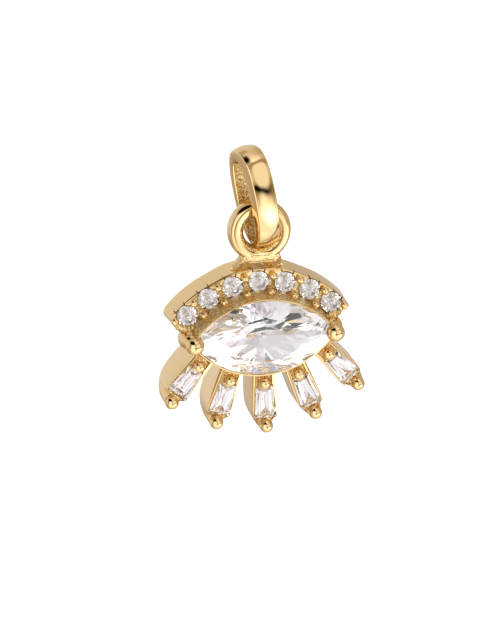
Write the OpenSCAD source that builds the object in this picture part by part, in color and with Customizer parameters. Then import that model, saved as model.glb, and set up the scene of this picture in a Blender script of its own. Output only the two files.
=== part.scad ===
// Evil eye pendant: a gold setting in the form of an eye, set with a marquise stone, a brow of
// round stones and a fan of lashes with tapered baguette stones, hanging by its loop from a bail.
// Units are millimetres. +Z is up, the front faces -Y, and the origin is the seat of the chain
// at the top of the bail's opening.

/* [Eye stone] */
// Length of the marquise stone from tip to tip
eye_l = 8.4; // [7:0.1:10]
// Height of the marquise stone
eye_h = 4.5; // [3.8:0.1:5]
// Height of the crown over the girdle
eye_crown = 0.55; // [0.4:0.05:0.8]
// Depth of the pavilion under the girdle
eye_pavilion = 1.7; // [1.2:0.1:2]
// How far the middle of the girdle stands in front of the brow's face
eye_fore = 1.2; // [1:0.05:1.4]

/* [Basket] */
// Wall of the basket outside the eye stone
basket_wall = 0.13; // [0.1:0.01:0.16]
// Depth of the step that the eye stone sits on, under its girdle
seat_step = 0.4; // [0.35:0.05:0.6]
// Height of the bright rim over the middle of the girdle, along the upper edge of the stone
rim_rise = 0.15; // [0.1:0.01:0.25]
// Radius of the post at each tip of the eye
post_r = 0.67; // [0.6:0.01:0.67]
// Diameter of the ball on each claw
claw_d = 1.08; // [0.9:0.02:1.2]
// Height of the middle of that ball over the middle of the girdle
claw_rise = 0.3; // [0.2:0.02:0.4]
// Diameter of the stem that carries the ball of a claw
stem_d = 0.8; // [0.6:0.05:0.9]

/* [Brow] */
// Radius of the arc on which the round stones stand
row_r = 6.3; // [6:0.1:7]
// Height of the middle round stone over the middle of the eye
row_rise = 3.1; // [3.05:0.05:3.6]
// Metal outside the arc of the stones
brow_out = 0.77; // [0.72:0.01:0.9]
// Metal inside the arc of the stones, towards the basket
brow_in = 0.9; // [0.85:0.05:1]
// Thickness of the brow, from its face to its back
brow_t = 1.75; // [1.5:0.05:1.9]
// Depth of the cheeks that join the brow to the posts, behind the brow's face
cheek_t = 1.0; // [0.8:0.1:1.4]
// Half of the angle that the brow spans
brow_half = 48.5; // [46:0.5:52]
// Radius of the brow's rounded ends
brow_end_r = 0.45; // [0.4:0.01:0.46]

/* [Round stones] */
// Number of round stones in the brow
round_n = 7; // [7:1:7]
// Diameter of a round stone
round_d = 1.35; // [1.2:0.01:1.4]
// Height of its crown over its girdle
round_crown = 0.2; // [0.15:0.01:0.25]
// Depth of its pavilion under its girdle
round_pavilion = 0.5; // [0.4:0.02:0.55]
// Height of the middle of its girdle over the brow's face
round_rise = 0.05; // [0.03:0.01:0.1]
// Angle between neighbouring round stones
round_step = 14.4; // [14:0.1:15]
// Diameter of the open hole behind a round stone
round_hole_d = 0.8; // [0.5:0.05:1]
// Diameter of a bead between the stones
grain_d = 0.44; // [0.3:0.02:0.5]

/* [Lashes] */
// Height of the point that the lashes spread from over the middle of the eye
fan_rise = 3.1; // [2.9:0.05:3.3]
// Angle between neighbouring lashes
lash_step = 20.2; // [19:0.1:21]
// Distance from that point to the upper bead of a lash
bead_top_r = 5.98; // [5.9:0.02:6.1]
// Distance from that point to the lower bead of a lash
bead_tip_r = 8.64; // [8.5:0.02:8.7]
// Diameter of the upper beads
bead_top_d = 0.7; // [0.6:0.02:0.8]
// Diameter of the lower beads
bead_tip_d = 0.8; // [0.7:0.02:0.84]
// Height of the middle of the upper beads over the front of the lashes
bead_top_rise = 0.2; // [0.15:0.01:0.25]
// Height of the middle of the lower beads over the front of the lashes
bead_tip_rise = 0.25; // [0.2:0.01:0.3]
// Width of a lash at the eye
lash_w_root = 1.26; // [1.2:0.02:1.4]
// Width of a lash at the broad end of its stone
lash_w_mid = 1.44; // [1.42:0.02:1.5]
// How far the front of the lashes stands before the brow's face
lash_fore = 0.8; // [0.6:0.05:0.9]
// Depth of the root of a lash behind the brow's face
lash_back = 2.3; // [2:0.05:2.4]
// Radius of the curve that the back of a lash takes to its tip
lash_curve_r = 2.6; // [2.5:0.02:2.7]

/* [Baguette stones] */
// Length of a baguette stone
baguette_l = 1.88; // [1.8:0.02:1.9]
// Width of its upper, narrow end
baguette_w_top = 1.0; // [0.8:0.02:1.1]
// Width of its lower, broad end
baguette_w_low = 1.34; // [1.1:0.02:1.36]
// Height of its crown over its girdle
baguette_crown = 0.16; // [0.1:0.02:0.2]
// Depth of its pavilion under its girdle
baguette_pavilion = 0.4; // [0.3:0.02:0.5]
// Height of its girdle
baguette_girdle = 0.1; // [0.06:0.01:0.12]

/* [Loop] */
// Diameter of the hole in the loop at its narrowest, halfway through
loop_hole_d = 2.3; // [2.2:0.05:2.5]
// Thickness of the loop's ring, from its hole to its outside
loop_wire = 0.72; // [0.6:0.02:0.8]
// Depth of the loop from front to back
loop_depth = 1.1; // [0.9:0.05:1.15]
// Width of the flat band on the front and the back of the loop
loop_band = 0.3; // [0.2:0.05:0.4]
// How far the loop's middle stands in front of the brow's face
loop_fore = 0.45; // [0.3:0.05:0.5]
// Gap between the brow and the loop's ring, which the neck fills
neck_h = 0.67; // [0.6:0.01:0.8]
// Width of the neck
neck_w = 2.45; // [2.3:0.05:2.6]

/* [Bail] */
// Height of the bail
bail_h = 6.07; // [5.9:0.01:6.2]
// Depth of the bail from front to back
bail_d = 3.4; // [3.2:0.02:3.5]
// Width of the bail's band
bail_w = 1.32; // [1.1:0.02:1.34]
// Thickness of the band at the top
bail_t_top = 0.8; // [0.6:0.02:0.9]
// Thickness of the band at the bottom
bail_t_low = 0.36; // [0.3:0.02:0.5]
// Thickness of the band in front
bail_t_front = 1.0; // [0.8:0.02:1.1]
// Thickness of the band behind
bail_t_back = 0.58; // [0.4:0.02:0.6]
// Radius of the gentle dome across the band's outer face
bail_dome_r = 1.6; // [1.2:0.1:4]
// Size of the softened edges of the band
bail_edge = 0.09; // [0.05:0.01:0.12]
// Angle that the bail leans to the left
bail_lean = 8.9; // [4:0.1:10]
// Angle that the bail is turned about the vertical
bail_twist = 13; // [0:1:14]

/* [Clearances] */
// Gap between a stone and its seat
stone_gap = 0.03; // [0.02:0.005:0.04]
// Gap between the foot of the bail and the bottom of the loop's hole
bail_gap = 0.26; // [0.24:0.01:0.34]

/* [Hidden] */
$fn = 96;

gold = "#d9ad55";
gem = "#eef0f6";

// Brilliant cuts: table, crown breaks and pavilion breaks, as shares of the girdle's radius
eye_cut = [0.58, 0.8, 0.4];
round_cut = [0.56, 0.8, 0.35];

// Arc of the eye stone's outline: two circles of this radius meet at its tips
eye_arc_r = (pow(eye_l / 2, 2) + pow(eye_h / 2, 2)) / eye_h;
eye_arc_drop = eye_arc_r - eye_h / 2;
eye_girdle_half = 0.05;
round_girdle_half = 0.02;

// Cuts run on by this much where they leave the metal
through = 1;
// Solids that are joined run into each other by this much
sunk = 0.1;

// The open hole behind the eye stone, as a share of the girdle
seat_hole = 0.82;
seat_front = eye_fore - eye_girdle_half - seat_step;
rail_front = eye_fore - eye_girdle_half - stone_gap;
rim_front = eye_fore + rim_rise;
rim_from = 0.25;
claw_z = eye_fore + claw_rise;
claw_x = eye_l / 2;
stem_x = claw_x + 0.2;
post_x = claw_x + 0.3;
post_front = seat_front - 0.05;

row_y = row_rise - row_r;
brow_out_r = row_r + brow_out;
brow_in_r = row_r - brow_in;
brow_top = row_y + brow_out_r;
brow_end = [4.95, 1.17];
// Rows of beads outside and inside the arc of the stones, and the last bead at each end
grain_up = 0.36;
grain_low = -0.64;
grain_z = 0.05;
grain_end_step = 3.42;
grain_end_out = 0.4;
round_seat_deep = round_pavilion + 0.12;

lash_n = 5;
lash_root_r = 4.9;
lash_mid_r = 7.75;
lash_tip_half = 0.4;
lash_curve_at = [6.6, 0.35];
bead_top_z = lash_fore + bead_top_rise;
bead_tip_z = lash_fore + bead_tip_rise;
baguette_low = lash_fore + 0.02;
baguette_from_r = bead_top_r + 0.26;
baguette_cut = baguette_low + baguette_girdle + baguette_crown + stone_gap;

loop_r = loop_hole_d / 2;
loop_mid_r = loop_r + loop_wire / 2;
loop_y = brow_top + neck_h + loop_wire + loop_r;
// Side view of the neck, from its foot in the brow up to the loop, as height over the eye and depth
neck_top = loop_y - loop_mid_r;
neck_side = [[brow_top - 0.4, -0.3], [brow_top - 0.4, -0.1], [brow_top + 0.05, 0.1],
    [brow_top + 0.4, 0.55], [neck_top, 0.55], [neck_top, -0.3]];

// The bail hangs from its seat; its opening is off the middle because the band's thickness varies
hole_half_d = (bail_d - bail_t_front - bail_t_back) / 2;
hole_half_h = (bail_h - bail_t_top - bail_t_low) / 2;
hole_back = (bail_t_front - bail_t_back) / 2;
hole_up = (bail_t_low - bail_t_top) / 2;
bail_round_top = 2.6;
bail_round_low = 2.2;
bail_sections = 72;

// The leaning bail passes through the loop's middle line at this height over its middle
loop_cross = 0.4;
loop_drop = (bail_h - bail_t_top) * cos(bail_lean) + bail_gap - loop_r;
loop_side = tan(bail_lean) * (loop_drop - loop_cross);

// The pendant is drawn facing up, as it lies on a bench, with the middle of the eye at the
// origin and the brow's face at height 0, and is then stood up under the bail
module stood_up() {
    translate([loop_side, loop_fore, -loop_drop - loop_y]) rotate([90, 0, 0]) children();
}

// Position on the arc of the brow, a number of stone steps from the middle
function on_row(steps, out) =
    [(row_r + out) * sin(steps * round_step), row_y + (row_r + out) * cos(steps * round_step)];

// Height of the plane through three points, at a place seen from above
function height_on(a, b, c, at) =
    let (n = cross(b - a, c - a))
    a[2] - (n[0] * (at[0] - a[0]) + n[1] * (at[1] - a[1])) / n[2];

function round_outline(r, t) = [r * cos(t), r * sin(t)];

function marquise_outline(t) =
    let (x = eye_l / 2 * cos(t), s = sin(t) < 0 ? -1 : 1)
    [x, abs(sin(t)) < 1e-6 ? 0 : s * (sqrt(pow(eye_arc_r, 2) - x * x) - eye_arc_drop)];

function outline(kind, size, t) = kind == "marquise" ? marquise_outline(t) : round_outline(size / 2, t);

// Height of a break point of the crown or pavilion, on the main facet of the nearer axis
function break_height(kind, size, k, share, from_share, from_z, to_z) =
    let (axis = 90 * round((k + 0.5) / 2), rim = outline(kind, size, axis), u = rim / norm(rim),
        at = share * outline(kind, size, 45 * (k + 0.5)) * u, start = from_share * norm(rim))
    from_z + (to_z - from_z) * (at - start) / (norm(rim) - start);

// A brilliant cut with eight mains, as points: table, crown breaks, girdle, pavilion breaks, culet
function brilliant_points(kind, size, crown, pavilion, half, cut) =
    let (
        table = cut[0], crown_break = cut[1], pav_break = cut[2],
        tab = [for (k = [0 : 7]) let (p = table * outline(kind, size, 45 * k)) [p[0], p[1], half + crown]],
        brk = [for (k = [0 : 7]) let (p = crown_break * outline(kind, size, 45 * (k + 0.5)))
            [p[0], p[1], break_height(kind, size, k, crown_break, table, half + crown, half)]],
        culet = [0, 0, -half - pavilion],
        pav = [for (k = [0 : 7]) let (p = pav_break * outline(kind, size, 45 * (k + 0.5)))
            [p[0], p[1], break_height(kind, size, k, pav_break, 0, -half - pavilion, -half)]],
        top = [for (j = [0 : 15]) let (p = outline(kind, size, 22.5 * j), k = floor(j / 2))
            [p[0], p[1], j % 2 == 1 ? half : height_on(tab[k], brk[k], brk[(k + 7) % 8], p)]],
        low = [for (j = [0 : 15]) let (p = outline(kind, size, 22.5 * j), k = floor(j / 2))
            [p[0], p[1], j % 2 == 1 ? -half : height_on(culet, pav[k], pav[(k + 7) % 8], p)]])
    concat(tab, brk, top, low, pav, [culet]);

brilliant_faces =
    let (b = 8, g = 16, l = 32, p = 48, c = 56)
    concat(
        [[7, 6, 5, 4, 3, 2, 1, 0]],
        [for (k = [0 : 7]) [k, (k + 1) % 8, b + k]],
        [for (k = [0 : 7]) [k, b + k, g + 2 * k, b + (k + 7) % 8]],
        [for (k = [0 : 7]) [b + k, g + 2 * k + 1, g + 2 * k]],
        [for (k = [0 : 7]) [b + k, g + (2 * k + 2) % 16, g + 2 * k + 1]],
        [for (j = [0 : 15]) [g + j, g + (j + 1) % 16, l + j]],
        [for (j = [0 : 15]) [g + (j + 1) % 16, l + (j + 1) % 16, l + j]],
        [for (k = [0 : 7]) [p + k, l + 2 * k, l + 2 * k + 1]],
        [for (k = [0 : 7]) [p + k, l + 2 * k + 1, l + (2 * k + 2) % 16]],
        [for (k = [0 : 7]) [p + k, c, p + (k + 7) % 8, l + 2 * k]]);

module brilliant(kind, size, crown, pavilion, half, cut) {
    polyhedron(brilliant_points(kind, size, crown, pavilion, half, cut), brilliant_faces, convexity = 2);
}

module marquise_stone() {
    color(gem) stood_up() translate([0, 0, eye_fore])
        brilliant("marquise", eye_l, eye_crown, eye_pavilion, eye_girdle_half, eye_cut);
}

module round_stone(i) {
    p = on_row(i - (round_n + 1) / 2, 0);
    color(gem) stood_up() translate([p[0], p[1], round_rise])
        brilliant("round", round_d, round_crown, round_pavilion, round_girdle_half, round_cut);
}

// Half of a baguette's width at a distance along it, drawn in on every side
function baguette_half(along, inset) =
    baguette_w_top / 2 + (baguette_w_low - baguette_w_top) / 2 * along / baguette_l - inset;

// Levels of the baguette's steps: height, inset of its sides, inset of its ends
baguette_levels = [
    [baguette_girdle + baguette_crown, 0.2, 0.28],
    [baguette_girdle + 0.6 * baguette_crown, 0.09, 0.12],
    [baguette_girdle, 0, 0],
    [0, 0, 0],
    [-0.4 * baguette_pavilion, 0.14, 0.2],
    [-0.75 * baguette_pavilion, 0.3, 0.45],
    [-baguette_pavilion, 0.44, 0.7]];

function baguette_ring(level) =
    let (s = level[1], e = level[2], far = baguette_l - e)
    [[-baguette_half(e, s), -e, level[0]], [baguette_half(e, s), -e, level[0]],
        [baguette_half(far, s), -far, level[0]], [-baguette_half(far, s), -far, level[0]]];

module baguette_stone(i) {
    points = [for (level = baguette_levels) each baguette_ring(level)];
    last = 4 * (len(baguette_levels) - 1);
    faces = concat([[0, 1, 2, 3]], [[last + 3, last + 2, last + 1, last]],
        [for (k = [0 : len(baguette_levels) - 2], j = [0 : 3])
            [4 * k + j, 4 * k + 4 + j, 4 * k + 4 + (j + 1) % 4, 4 * k + (j + 1) % 4]]);
    color(gem) stood_up() at_lash(i) translate([0, -baguette_from_r, baguette_low])
        polyhedron(points, faces, convexity = 2);
}

// Puts a lash that points down at its place in the fan, the first one on the left
module at_lash(i) {
    translate([0, fan_rise, 0]) rotate([0, 0, (i - (lash_n + 1) / 2) * lash_step]) children();
}

// Outline of the eye stone, grown outwards
module lens(grow) {
    intersection() {
        translate([0, -eye_arc_drop]) circle(r = eye_arc_r + grow);
        translate([0, eye_arc_drop]) circle(r = eye_arc_r + grow);
    }
}

module brow_outline() {
    wide = 2 * brow_out_r;
    intersection() {
        difference() {
            translate([0, row_y]) circle(r = brow_out_r);
            translate([0, row_y]) circle(r = brow_in_r);
        }
        translate([0, row_y]) polygon([[0, 0], [-wide * sin(brow_half), wide * cos(brow_half)],
            [0, wide], [wide * sin(brow_half), wide * cos(brow_half)]]);
    }
}

// The cheek that joins the rounded end of the brow to the post at the tip of the eye
module brow_cheek() {
    tip = [post_x, 0];
    along = (tip - brow_end) / norm(tip - brow_end);
    side = [-along[1], along[0]];
    polygon([brow_end, brow_end + brow_end_r * side, tip + post_r * side, tip, [eye_l / 2 - post_r, 0]]);
}

module both_sides() {
    children();
    mirror([1, 0, 0]) children();
}

module brow() {
    translate([0, 0, -brow_t]) linear_extrude(brow_t) brow_outline();
    both_sides() {
        translate([brow_end[0], brow_end[1], -brow_t]) cylinder(r = brow_end_r, h = brow_t);
        translate([0, 0, -cheek_t]) linear_extrude(cheek_t) brow_cheek();
    }
}

module basket() {
    translate([0, 0, -brow_t]) linear_extrude(brow_t + rail_front) lens(basket_wall);
    translate([0, 0, rail_front - sunk]) linear_extrude(rim_front - rail_front + sunk) intersection() {
        lens(basket_wall);
        translate([-eye_l, rim_from]) square([2 * eye_l, eye_h]);
    }
    both_sides() {
        translate([post_x, 0, -cheek_t]) cylinder(r = post_r, h = cheek_t + post_front);
        translate([stem_x, 0, 0]) cylinder(d = stem_d, h = claw_z);
        translate([claw_x, 0, claw_z]) sphere(d = claw_d);
    }
}

// Room for the eye stone: its girdle and claws in front, and the open back behind its pavilion
module eye_pocket() {
    translate([0, 0, seat_front]) linear_extrude(claw_z - seat_front) lens(stone_gap);
    translate([0, 0, -lash_back - through]) linear_extrude(lash_back + through + seat_front + sunk)
        scale([seat_hole, seat_hole]) lens(0);
}

module grain(p) {
    translate([p[0], p[1], grain_z]) sphere(d = grain_d, $fn = 32);
}

module grains() {
    for (k = [0.5 : 1 : 2.5], s = [-1, 1]) {
        grain(on_row(s * k, grain_up));
        grain(on_row(s * k, grain_low));
    }
    for (s = [-1, 1]) grain(on_row(s * grain_end_step, grain_end_out));
}

module round_seats() {
    for (i = [1 : round_n]) {
        p = on_row(i - (round_n + 1) / 2, 0);
        translate([p[0], p[1], -round_seat_deep])
            cylinder(r = round_d / 2 + stone_gap, h = round_seat_deep + through);
        translate([p[0], p[1], -brow_t - through]) cylinder(d = round_hole_d, h = brow_t + through);
    }
}

module lash_outline() {
    polygon([[-lash_w_root / 2, -lash_root_r], [lash_w_root / 2, -lash_root_r],
        [lash_w_mid / 2, -lash_mid_r], [lash_tip_half, -bead_tip_r],
        [-lash_tip_half, -bead_tip_r], [-lash_w_mid / 2, -lash_mid_r]]);
    translate([0, -bead_tip_r]) circle(r = lash_tip_half);
}

module lash() {
    intersection() {
        translate([0, 0, -lash_back]) linear_extrude(lash_back + lash_fore) lash_outline();
        translate([-lash_w_mid, -lash_curve_at[0], lash_curve_at[1]]) rotate([0, 90, 0])
            cylinder(r = lash_curve_r, h = 2 * lash_w_mid);
    }
    translate([0, -bead_top_r, bead_top_z]) sphere(d = bead_top_d, $fn = 48);
    translate([0, -bead_tip_r, bead_tip_z]) sphere(d = bead_tip_d, $fn = 48);
}

// Room for a baguette: its outline in front of its girdle, and a channel for its pavilion
module baguette_pocket() {
    gap = stone_gap;
    low = baguette_low - baguette_pavilion - gap;
    translate([0, -baguette_from_r, low]) linear_extrude(baguette_cut - low) polygon([
        [-baguette_half(0, 0) - gap, gap], [baguette_half(0, 0) + gap, gap],
        [baguette_half(baguette_l, 0) + gap, -baguette_l - gap],
        [-baguette_half(baguette_l, 0) - gap, -baguette_l - gap]]);
}

module loop() {
    w = loop_wire / 2;
    d = loop_depth / 2;
    b = loop_band / 2;
    translate([0, loop_y, loop_fore]) rotate_extrude() translate([loop_mid_r, 0])
        polygon([[w, -b], [w, b], [b, d], [-b, d], [-w, b], [-w, -b], [-b, -d], [b, -d]]);
}

module neck() {
    difference() {
        translate([neck_w / 2, 0, 0]) rotate([0, -90, 0]) linear_extrude(neck_w)
            polygon([for (p = neck_side) [p[1], p[0]]]);
        translate([0, loop_y, -brow_t]) cylinder(r = loop_mid_r, h = 2 * brow_t);
    }
}

module setting() {
    color(gold) stood_up() difference() {
        union() {
            brow();
            basket();
            grains();
            neck();
            loop();
            for (i = [1 : lash_n]) at_lash(i) lash();
        }
        eye_pocket();
        round_seats();
        for (i = [1 : lash_n]) at_lash(i) baguette_pocket();
    }
}

// Point of an oval in the bail's plane, as depth and height, rounder above than below
function oval(half_d, half_h, t) =
    let (n = sin(t) > 0 ? bail_round_top : bail_round_low)
    [sign(cos(t)) * pow(abs(cos(t)), 2 / n) * half_d, sign(sin(t)) * pow(abs(sin(t)), 2 / n) * half_h];

// One section of the band, as points of width and height over its inner face
function band_section(t) =
    let (half = bail_w / 2, e = bail_edge, drop = function (v) bail_dome_r - sqrt(pow(bail_dome_r, 2) - v * v))
    [[-half + e, 0], [-half, e], [-half, t - drop(half) - e], [-half + e, t - drop(half - e)],
        [-0.4 * half, t - drop(0.4 * half)], [0, t], [0.4 * half, t - drop(0.4 * half)],
        [half - e, t - drop(half - e)], [half, t - drop(half) - e], [half, e], [half - e, 0]];

function band_ring(t) =
    let (outer = oval(bail_d / 2, bail_h / 2, t), inner = oval(hole_half_d, hole_half_h, t) + [hole_back, hole_up],
        out = (outer - inner) / norm(outer - inner))
    [for (p = band_section(norm(outer - inner)))
        [p[0], inner[0] + p[1] * out[0] - hole_back, inner[1] + p[1] * out[1] - hole_half_h - hole_up]];

module bail() {
    sides = len(band_section(1));
    points = [for (i = [0 : bail_sections - 1]) each band_ring(360 * i / bail_sections)];
    faces = [for (i = [0 : bail_sections - 1], j = [0 : sides - 1])
        let (next = (i + 1) % bail_sections, up = (j + 1) % sides)
        [i * sides + j, i * sides + up, next * sides + up, next * sides + j]];
    color(gold) rotate([0, -bail_lean, 0]) rotate([0, 0, bail_twist])
        polyhedron(points, faces, convexity = 4);
}

setting();
bail();
marquise_stone();  // eye_stone
for (i = [1 : round_n]) round_stone(i);
for (i = [1 : lash_n]) baguette_stone(i);
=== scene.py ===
"""Evil eye pendant: its gold casting, its set stones, and the studio that shows it."""

import logging
import math
from dataclasses import dataclass
from enum import Enum
from typing import Callable, Sequence

import bmesh
import bpy
from mathutils import Matrix, Vector, noise


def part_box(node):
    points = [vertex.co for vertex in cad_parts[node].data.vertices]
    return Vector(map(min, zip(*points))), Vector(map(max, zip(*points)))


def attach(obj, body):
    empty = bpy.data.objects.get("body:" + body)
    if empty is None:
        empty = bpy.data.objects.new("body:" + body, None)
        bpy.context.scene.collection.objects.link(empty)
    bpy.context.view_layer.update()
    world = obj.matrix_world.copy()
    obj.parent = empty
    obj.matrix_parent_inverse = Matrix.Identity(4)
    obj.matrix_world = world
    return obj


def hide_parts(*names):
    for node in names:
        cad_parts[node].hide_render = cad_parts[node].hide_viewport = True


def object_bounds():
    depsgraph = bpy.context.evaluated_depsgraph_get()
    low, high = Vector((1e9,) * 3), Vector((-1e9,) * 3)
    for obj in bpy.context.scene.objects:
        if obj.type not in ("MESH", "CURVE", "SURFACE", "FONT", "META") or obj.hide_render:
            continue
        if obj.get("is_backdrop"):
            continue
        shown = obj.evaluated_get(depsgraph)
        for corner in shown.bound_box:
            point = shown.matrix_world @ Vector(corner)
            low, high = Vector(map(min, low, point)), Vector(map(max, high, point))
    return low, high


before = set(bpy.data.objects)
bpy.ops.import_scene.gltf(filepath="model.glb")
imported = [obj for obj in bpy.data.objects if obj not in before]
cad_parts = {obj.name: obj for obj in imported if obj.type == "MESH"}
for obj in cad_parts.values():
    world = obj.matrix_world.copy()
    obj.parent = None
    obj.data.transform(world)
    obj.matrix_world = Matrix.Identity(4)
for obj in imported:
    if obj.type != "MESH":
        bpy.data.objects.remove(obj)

LOG = logging.getLogger("pendant")
MM = 0.001

# Points of a mesh that lie closer than this, in metres, become one
WELD = 1e-5 * MM

# Edges of the metal that bend by more degrees than this stay sharp
SHARP = 38.0

# Name of the face attribute that says how the metal is left
GRAIN = "grain"

Ring = list[Vector]


class Surface(Enum):
    """How a face of the casting is left, as the value of its grain mark."""

    POLISHED = 0.0
    SATIN = 0.3
    MELTED = 0.6
    GRAINED = 1.0


class Body(Enum):
    """The rigid bodies that a piece can ride on."""

    BAIL = "bail"
    PENDANT = "pendant"


def colour(hex_code: str) -> tuple[float, float, float, float]:
    """Turns a colour as seen on a screen into the linear values that shaders take.

    Args:
        hex_code: Red, green and blue as six hexadecimal digits.

    Returns:
        Linear red, green and blue, and an alpha of 1.
    """
    parts = [int(hex_code[i : i + 2], 16) / 255 for i in (0, 2, 4)]
    red, green, blue = (p / 12.92 if p <= 0.04045 else ((p + 0.055) / 1.055) ** 2.4 for p in parts)
    return red, green, blue, 1.0


def smooth(low: float, high: float, value: float) -> float:
    """Rises smoothly from 0 at low to 1 at high.

    Args:
        low: Value where the rise starts.
        high: Value where it ends.
        value: The value asked about.

    Returns:
        A share from 0 to 1.
    """
    t = min(1.0, max(0.0, (value - low) / (high - low)))
    return t * t * (3 - 2 * t)


def arc(centre: tuple[float, float], radius: float, start: float, end: float, count: int) -> Ring:
    """Makes points along an arc, counted from the right and anticlockwise.

    Args:
        centre: Middle of the arc, in millimetres.
        radius: Its radius.
        start: Angle of the first point, in degrees.
        end: Angle of the last point.
        count: Number of points.

    Returns:
        The points, at height 0.
    """
    turns = [math.radians(start + (end - start) * i / (count - 1)) for i in range(count)]
    return [Vector((centre[0] + radius * math.cos(a), centre[1] + radius * math.sin(a), 0)) for a in turns]


def stand(point: Vector) -> Vector:
    """Stands a point up from the bench, in metres."""
    return Vector((point.x, -point.z, point.y)) * MM


@dataclass(frozen=True)
class Bench:
    """The pendant as it lies on the bench: x right, y up, z towards the viewer, in millimetres.

    Its origin is the middle of the eye on the face of the brow.
    """

    origin: Vector
    eye_front: float = 1.8

    @classmethod
    def under(cls, stone: str) -> "Bench":
        """Finds the bench from the box of the eye stone.

        Args:
            stone: Name of the eye stone's node.

        Returns:
            The bench.
        """
        low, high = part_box(stone)
        middle = (Vector(low) + Vector(high)) / 2
        return cls(Vector((middle.x, low[1] + cls.eye_front * MM, middle.z)))

    def place(self, point: Vector) -> Vector:
        """Stands a point of the bench up in the frame, in metres."""
        return self.origin + stand(point)


class Draft:
    """Points and faces of one mesh in millimetres, with the finish of each face."""

    # Radius of the small flat caps at a ball's poles, as a share of the ball's
    POLE = 0.02

    def __init__(self) -> None:
        """Starts with nothing."""
        self.points: list[Vector] = []
        self.faces: list[tuple[int, ...]] = []
        self.marks: list[Surface] = []

    def add_ring(self, ring: Sequence[Vector]) -> list[int]:
        """Adds points and returns their numbers."""
        self.points.extend(ring)
        return list(range(len(self.points) - len(ring), len(self.points)))

    def add_face(self, corners: Sequence[int], surface: Surface = Surface.POLISHED) -> None:
        """Adds one face with its finish."""
        self.faces.append(tuple(corners))
        self.marks.append(surface)

    def loft(
        self,
        rings: Sequence[Ring],
        closed: bool = False,
        surface: Callable[[int, int], Surface] = lambda i, j: Surface.POLISHED,
    ) -> "Draft":
        """Joins rings of points into one shell.

        Args:
            rings: Closed rings, all with the same number of points.
            closed: Whether the last ring meets the first. Otherwise both ends are capped.
            surface: Gives the finish of the face after a ring's number and a point's number.

        Returns:
            This draft.
        """
        ids = [self.add_ring(ring) for ring in rings]
        size = len(ids[0])
        for i in range(len(ids) if closed else len(ids) - 1):
            near, far = ids[i], ids[(i + 1) % len(ids)]
            for j in range(size):
                k = (j + 1) % size
                self.add_face((near[j], near[k], far[k], far[j]), surface(i, j))
        if not closed:
            self.add_face(ids[0], surface(0, 0))
            self.add_face(ids[-1][::-1], surface(len(ids) - 2, 0))
        return self

    def turn(self, profile: Sequence[tuple[float, float, float, float]], sides: int) -> None:
        """Turns a profile about an axis that runs towards the viewer.

        Args:
            profile: Rows of height, radius, and the axis's x and y at that height.
            sides: Number of sides.
        """
        rings = []
        for z, radius, x, y in profile:
            rings.append([p + Vector((0, 0, z)) for p in arc((x, y), radius, 0, 360 - 360 / sides, sides)])
        self.loft(rings)

    def ball(self, centre: Vector, radius: float, sides: int = 40, levels: int = 24) -> None:
        """Adds a ball.

        Args:
            centre: Its middle.
            radius: Its radius.
            sides: Number of sides.
            levels: Number of steps from pole to pole.
        """
        profile = []
        for i in range(levels + 1):
            a = math.pi * i / levels
            reach = radius * max(math.sin(a), self.POLE)
            profile.append((centre.z - radius * math.cos(a), reach, centre.x, centre.y))
        self.turn(profile, sides)

    def build(
        self, name: str, place: Callable[[Vector], Vector], sharp: float = SHARP
    ) -> bpy.types.Object:
        """Makes the mesh object.

        Args:
            name: Name of the piece.
            place: Puts a point of the draft in the frame, in metres.
            sharp: Edges that bend by more than this many degrees stay sharp.

        Returns:
            The object, at the origin.
        """
        mesh = bpy.data.meshes.new(name)
        bm = bmesh.new()
        layer = bm.faces.layers.float.new(GRAIN)
        verts = [bm.verts.new(place(p)) for p in self.points]
        for corners, mark in zip(self.faces, self.marks):
            face = bm.faces.new([verts[i] for i in corners])
            face[layer] = mark.value
            face.smooth = True
        bmesh.ops.remove_doubles(bm, verts=bm.verts, dist=WELD)
        bmesh.ops.recalc_face_normals(bm, faces=bm.faces)
        bm.to_mesh(mesh)
        bm.free()
        mesh.set_sharp_from_angle(angle=math.radians(sharp))
        piece = bpy.data.objects.new(name, mesh)
        bpy.context.scene.collection.objects.link(piece)
        return piece


def settle(piece: bpy.types.Object) -> None:
    """Turns a piece with live modifiers into a plain mesh and removes the modifiers.

    Args:
        piece: The piece.
    """
    graph = bpy.context.evaluated_depsgraph_get()
    mesh = bpy.data.meshes.new_from_object(piece.evaluated_get(graph), depsgraph=graph)
    piece.modifiers.clear()
    piece.data = mesh


def carve(piece: bpy.types.Object, cutter: bpy.types.Object, mark: bpy.types.Material) -> None:
    """Cuts one mesh out of another. The cut faces take the stand-in material.

    Args:
        piece: The mesh that is cut.
        cutter: The closed mesh that is taken away. It is deleted.
        mark: Stand-in material that tells the cut faces from the others.
    """
    cutter.data.materials.append(mark)
    step = piece.modifiers.new("cut", "BOOLEAN")
    step.operation = "DIFFERENCE"
    step.solver = "MANIFOLD"
    step.material_mode = "TRANSFER"
    step.object = cutter
    settle(piece)
    bpy.data.objects.remove(cutter)


def mark_cuts(piece: bpy.types.Object, mark: bpy.types.Material) -> None:
    """Turns the stand-in material of the cut faces into the grain mark.

    Args:
        piece: The cut mesh.
        mark: The stand-in material.
    """
    mesh = piece.data
    number = list(mesh.materials).index(mark)
    layer = mesh.attributes[GRAIN].data
    for face in mesh.polygons:
        if face.material_index == number:
            layer[face.index].value = Surface.GRAINED.value


def feed(tree: bpy.types.NodeTree, node: bpy.types.Node, inputs: dict[str | int, object]) -> None:
    """Gives a node its inputs.

    Args:
        tree: The node tree.
        node: The node.
        inputs: By name or number, outputs of other nodes to link, or values for the node's own sockets.
    """
    for key, value in inputs.items():
        if isinstance(value, bpy.types.NodeSocket):
            tree.links.new(value, node.inputs[key])
        else:
            node.inputs[key].default_value = value


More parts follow.
